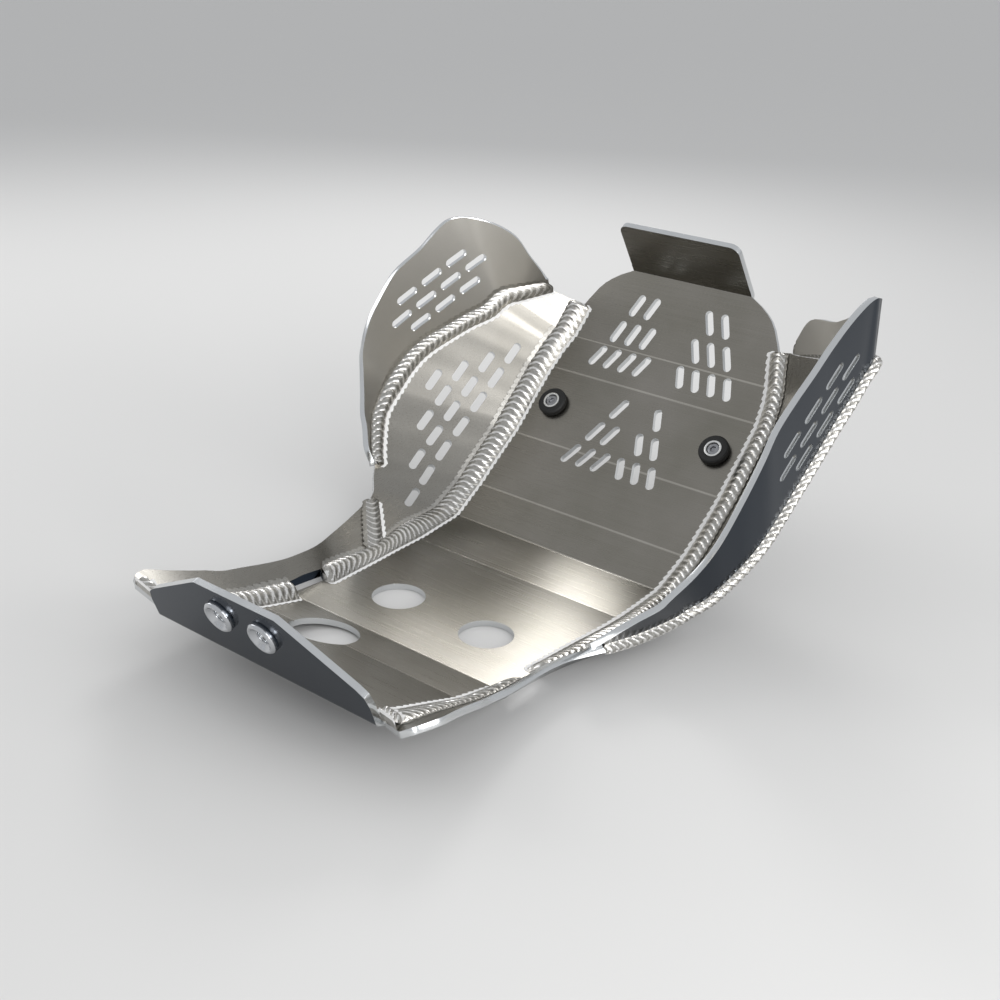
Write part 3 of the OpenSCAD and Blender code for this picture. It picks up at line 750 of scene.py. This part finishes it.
def lay_bead(name, corner, first, second, legs, height, mirrored,
             fringe=True, depth=0.95, lean=0.0, shell=None):
    """One bead: sections of toe, crowned coins and toe, swept along a corner and closed. The first
    and second rails say where its two faces go from the corner, and legs how far it reaches up
    each; shell gives two rails to bulge over instead of the crown's height."""
    rings, crest_highlights = [], []
    for place, s, total in stations(corner, STEP):
        c = along(corner, place)
        one = (along(first, place) - c).normalized()
        two = (along(second, place) - c).normalized()
        wander = 0.35 * math.sin(s / 17.0 + len(name)) + 0.2 * math.sin(s / 7.3)  # the hand's sway
        tip = min(1.0, TIP + min(s, total - s) / TAPER)

        def part_of(v):
            """How far into its ripple a point at v, from toe to toe, is."""
            phase = (s + BOW * (1 - (2 * v - 1) ** 2) + lean * v + wander) / COIN
            return phase - math.floor(phase)

        def coin(v):
            """Height of the ripple's round back at v, from 0 to 1."""
            part = part_of(v)
            if part > HOLLOW:
                return 1 - (1 - part) ** 2.2
            return 0.42 * (1 - part / HOLLOW) ** 1.3 + 0.42 * part / HOLLOW

        a = c + one * (legs[0] + wander * 0.5) * (0.94 + 0.08 * coin(0)) * tip
        b = c + two * (legs[1] + wander * 0.5) * (0.95 + 0.07 * coin(1)) * tip
        up = ((a + b) / 2 - c).normalized()
        ring = [c]
        if fringe:
            ring.append(a + one * FRINGE * (0.8 + 0.6 * coin(0)) + up * 0.15)
        for k in range(ACROSS + 1):
            v = k / ACROSS
            crown = 4 * v * (1 - v)
            rise = height * crown * tip + depth * (coin(v) - 0.6) * min(1.0, 2.2 * crown) + 0.15
            if shell:
                h1, h2 = along(shell[0], place), along(shell[1], place)
                base = a * (1 - v) ** 3 + h1 * 3 * v * (1 - v) ** 2 + h2 * 3 * v * v * (1 - v) + b * v ** 3
                ring.append(base + (base - c).normalized() * (rise - height * crown * tip))
            else:
                ring.append(a.lerp(b, v) + up * rise)
        if fringe:
            ring.append(b + two * FRINGE * (0.8 + 0.6 * coin(1)) + up * 0.9)
        rings.append(ring)
        # The crest faces take the lighter weld material: a painted highlight where light catches each
        # ripple.
        low, high = CREST_HIGHLIGHT_SPAN
        bright = [low < part_of((k + 0.5) / ACROSS) < high for k in range(ACROSS)]
        crest_highlights.append([False, *bright[1:-1], False])
    flip = -1 if mirrored else 1
    points = [(p.x * flip, p.y, p.z) for ring in rings for p in ring]
    m = len(rings[0])
    faces = [(i * m + j, (i + 1) * m + j, (i + 1) * m + (j + 1) % m, i * m + (j + 1) % m)
             for i in range(len(rings) - 1) for j in range(m)]
    faces += [tuple(range(m)), tuple((len(rings) - 1) * m + j for j in reversed(range(m)))]
    piece = new_piece(name + "_laid", points, faces)
    mesh = piece.data
    keep_in_box(mesh)
    for material in (WELD, FROST, CREST_HIGHLIGHT):
        mesh.materials.append(material)
    for i in range(len(rings) - 1):
        for k in range(ACROSS):
            if crest_highlights[i][k]:
                mesh.polygons[i * m + k + (2 if fringe else 1)].material_index = 2
        if fringe:
            for j in (1, m - 2):
                mesh.polygons[i * m + j].material_index = 1
    edit(piece, TURN_OUT)
    finish_piece(piece, name, "weld", 0)


TOWARDS_MIDDLE = Vector((-40, 0, 0))
SHIFT_RIGHT = 4.6  # the right ear's thickness lies inwards, so its inner bead starts this far in


def beads_of(side):
    """Lays the six beads of one side, from the front of the plate to its rear corner."""
    mirrored = side == "left"
    wing = [out(row) for row in (LEFT_WING if mirrored else RIGHT_WING)]
    tail = [] if mirrored else [out(row) for row in RIGHT_TAIL]
    ends = [out(row) for row in PANEL_END if row[0] < wing[-1][0]]
    front = [out(row) for row in SILL_FRONT]
    sill = front + [out(row) for row in (LEFT_SILL_END if mirrored else RIGHT_SILL_END)]

    def along_plate(name, rows, legs, height):
        """A bead between the plate's edge and the sheet that rises from it."""
        corner = edge_between(rows, PER)
        upward = curve_through([row[1] for row in rows], PER)
        lay_bead(name + side, corner, [p + TOWARDS_MIDDLE for p in corner], upward, legs, height, mirrored)

    before_gap = [row for row in front if -20 < row[0] < 30]
    behind_gap = [row for row in sill if row[0] <= -44]
    along_plate("main_weld_", wing + ends + before_gap, (6.8, 10.5), 3.2)
    along_plate("rear_weld_", behind_gap, (6.8, 9.5) if mirrored else (7.6, 17.5), 3.2)

    seam, free = rails_of("ear_" + side)
    n = PER * (len(wing) - 1) + 1
    inner = edge_between(wing, PER)
    if mirrored:
        corner, up_ear = seam[:n], free[:n]
    else:
        corner = [p + (q - p).normalized() * SHIFT_RIGHT for p, q in zip(seam, inner)]
        up_ear = [p + (q - r) for p, q, r in zip(corner, free, seam)]
    lay_bead("ear_weld_" + side, corner, inner, up_ear, (7, 7), 2.8, mirrored)

    inner = edge_between(wing + tail, PER)
    ear_out = strip_normals(seam, free)
    panel_out = strip_normals(inner, seam)
    shell = None
    if mirrored:
        rails = [seam, [p + v for p, v in zip(seam, ear_out)], [p + v for p, v in zip(seam, panel_out)]]
        legs = (SHEET + 2.4, SHEET + 1.9)
    else:  # a broad bead wraps the ear's cut edge, from the ear's face to the panel's back
        panel = list(zip(seam, panel_out, inner))
        away = [(v + (p - q).normalized()).normalized() for p, v, q in panel]
        rails = [
            [p + v * 2 + (q - p).normalized() * 2 for p, v, q in panel],
            [p + (f - p).normalized() * 2.4 - v * 0.3 for p, f, v in zip(seam, free, ear_out)],
            [p + v * 3.8 + (q - p).normalized() * 4 for p, v, q in panel],
        ]
        shell = [
            [p + v * 2.6 + w * 1.0 for p, v, w in zip(seam, ear_out, away)][PER:-PER],
            [p + v * 4.4 + w * 3.2 for p, v, w in zip(seam, panel_out, away)][PER:-PER],
        ]
        legs = (5.2, 2.9)
    rails = [rail[PER:-PER] for rail in rails]
    lay_bead("outer_ear_weld_" + side, *rails, legs, 2.6, mirrored,
             fringe=False, depth=1.3, lean=4.0, shell=shell)

    a, b = edge(35), out(PANEL_END[2])[1]
    run = (b - a).normalized()
    lift = run.cross((edge(80) - a).normalized()).normalized()
    aside = lift.cross(run).normalized()
    corner = [a + 3 * run, (a + b) / 2, b - 2 * run]
    slants = [Vector((0, 0, 0)), Vector((0, 0, 0)), 12 * run]  # the far end is cut along the outline
    reaches = [20 * aside + slant for slant in slants]
    first, second = ([p + v * way + lift for p, v in zip(corner, reaches)] for way in (1, -1))
    lay_bead("joint_weld_" + side, corner, first, second, (6.2, 6.2), 1.1, mirrored)

    a, b = edge(BASE), sill[-1][1]
    corner = [a, (a + b) / 2, a.lerp(b, 0.9)]
    first, second = ([p + Vector(v) for p in corner] for v in ((-3, 20, 9), (0, -8, 20)))
    lay_bead("corner_weld_" + side, corner, first, second, (6.5, 6.5), 2.8, mirrored)


for side in ("left", "right"):
    beads_of(side)

# --- floor, lights and world ------------------------------------------------------------

floor_material, floor_shader = new_material("matt_paper_floor", "#d9d8d6", 0.0, 0.8)
speck = add(floor_material, "ShaderNodeTexNoise", {"Scale": 40.0, "Detail": 2.0})
emboss(floor_material, floor_shader, speck, 0.05, 0.5)
deselect()
bpy.ops.mesh.primitive_plane_add(size=60, location=(0, 0, cad_box[0][2] - 0.0002))
floor = bpy.context.object
floor.name = "floor"
floor.data.materials.append(floor_material)


def soft_light(name, place, target, width, height, power):
    """A rectangular studio light that looks at a target."""
    light = bpy.data.lights.new(name, "AREA")
    light.shape = "RECTANGLE"
    light.size, light.size_y, light.energy = width, height, power
    lamp = bpy.data.objects.new(name, light)
    lamp.location = place
    lamp.rotation_euler = (Vector(place) - Vector(target)).to_track_quat("Z", "Y").to_euler()
    bpy.context.scene.collection.objects.link(lamp)


soft_light("key", (-0.75, 1.05, 0.9), (0, 0, 0.05), 0.45, 0.4, 4.5)
soft_light("right_wall", (1.35, 0.25, 0.5), (-0.1, 0.1, 0.15), 0.8, 0.7, 6)
soft_light("low_front", (0.88, -0.60, 0.22), (-0.105, 0.235, 0.14), 0.24, 0.24, 2.6)
soft_light("right_front", (0.9, -0.2, 0.75), (-0.15, 0.17, 0.15), 0.4, 0.4, 1.2)
soft_light("front", (1.3, -1.0, 0.9), (0, 0, 0.1), 0.8, 0.8, 5)
soft_light("left_wall", (-1.4, -0.3, 0.7), (0, 0, 0.1), 0.8, 0.8, 5)

world = bpy.data.worlds.new("studio")
world.use_nodes = True
bpy.context.scene.world = world
sky = world.node_tree.nodes["Background"]
sky.inputs["Color"].default_value = colour("#dcdee1")
sky.inputs["Strength"].default_value = 0.85
